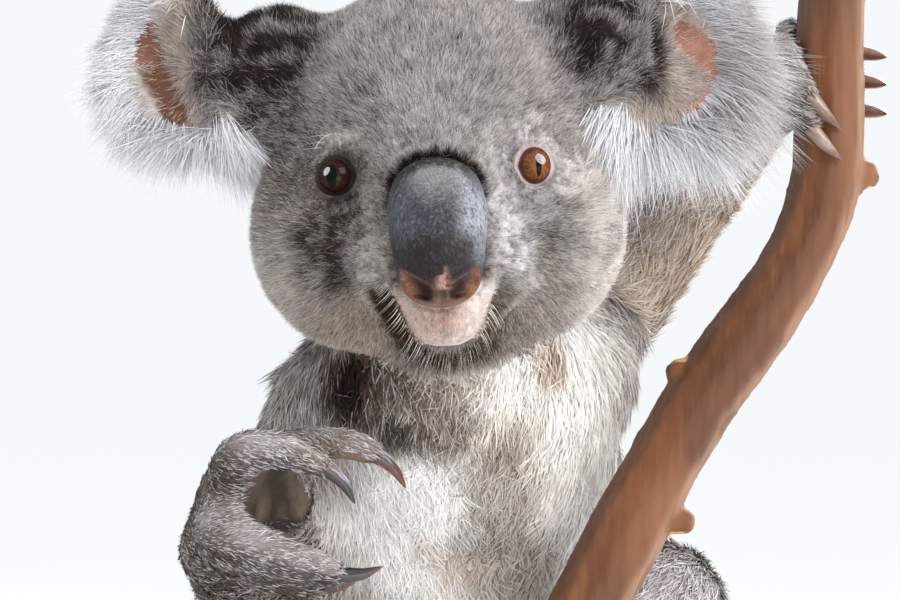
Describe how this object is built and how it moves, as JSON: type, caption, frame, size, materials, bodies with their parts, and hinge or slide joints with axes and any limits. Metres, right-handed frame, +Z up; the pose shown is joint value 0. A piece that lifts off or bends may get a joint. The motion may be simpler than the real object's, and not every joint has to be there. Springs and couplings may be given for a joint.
{
  "type": "koala on a cut branch",
  "caption": "Life-size still koala with raised left arm and free right hand, gripping a slanting cut branch on a plain display stand.",
  "frame": {"origin": "middle of the flat underside of the stand's base", "axes": "+Z up, the koala faces -Y, its own left side is towards +X"},
  "size_m": [0.3485, 0.3362, 0.6689],
  "materials": {
    "coat": "dense short woolly fur, grizzled grey-brown with cream and dark patches",
    "pale_coat": "long soft white fringe fur",
    "bare_skin": "fine-grained slate black nose leather with a soft sheen",
    "eye": "wet orange-brown eye with a vertical slit pupil",
    "claw": "polished dark horn with reddish brown tips",
    "wood": "smooth satin orange-brown bark, sawn pale at both ends",
    "stand": "satin light grey paint"
  },
  "bodies": {
    "root": {"abdomen": "coat", "branch": "wood", "chest": "coat", "claw_foot_left_1": "claw", "claw_foot_left_2": "claw", "claw_foot_left_3": "claw", "claw_foot_right_1": "claw", "claw_foot_right_2": "claw", "claw_foot_right_3": "claw", "claw_hand_left_1": "claw", "claw_hand_left_2": "claw", "claw_hand_left_3": "claw", "claw_hand_left_4": "claw", "claw_hand_left_5": "claw", "claw_hand_right_1": "claw", "claw_hand_right_2": "claw", "claw_hand_right_4": "claw", "claw_hand_right_5": "claw", "ear_fringe_left": "pale_coat", "ear_fringe_right": "pale_coat", "ear_left": "coat", "ear_right": "coat", "eye_left": "eye", "eye_right": "eye", "foot_left": "coat", "foot_right": "coat", "forearm_left": "coat", "forearm_right": "coat", "hand_left": "coat", "hand_right": "coat", "head": "coat", "jaw": "coat", "neck": "coat", "nose": "bare_skin", "shank_left": "coat", "shank_right": "coat", "stand_base": "stand", "stand_rod_front": "stand", "stand_rod_rear": "stand", "thigh_left": "coat", "thigh_right": "coat", "upper_arm_left": "coat", "upper_arm_right": "coat"}
  },
  "joints": []
}
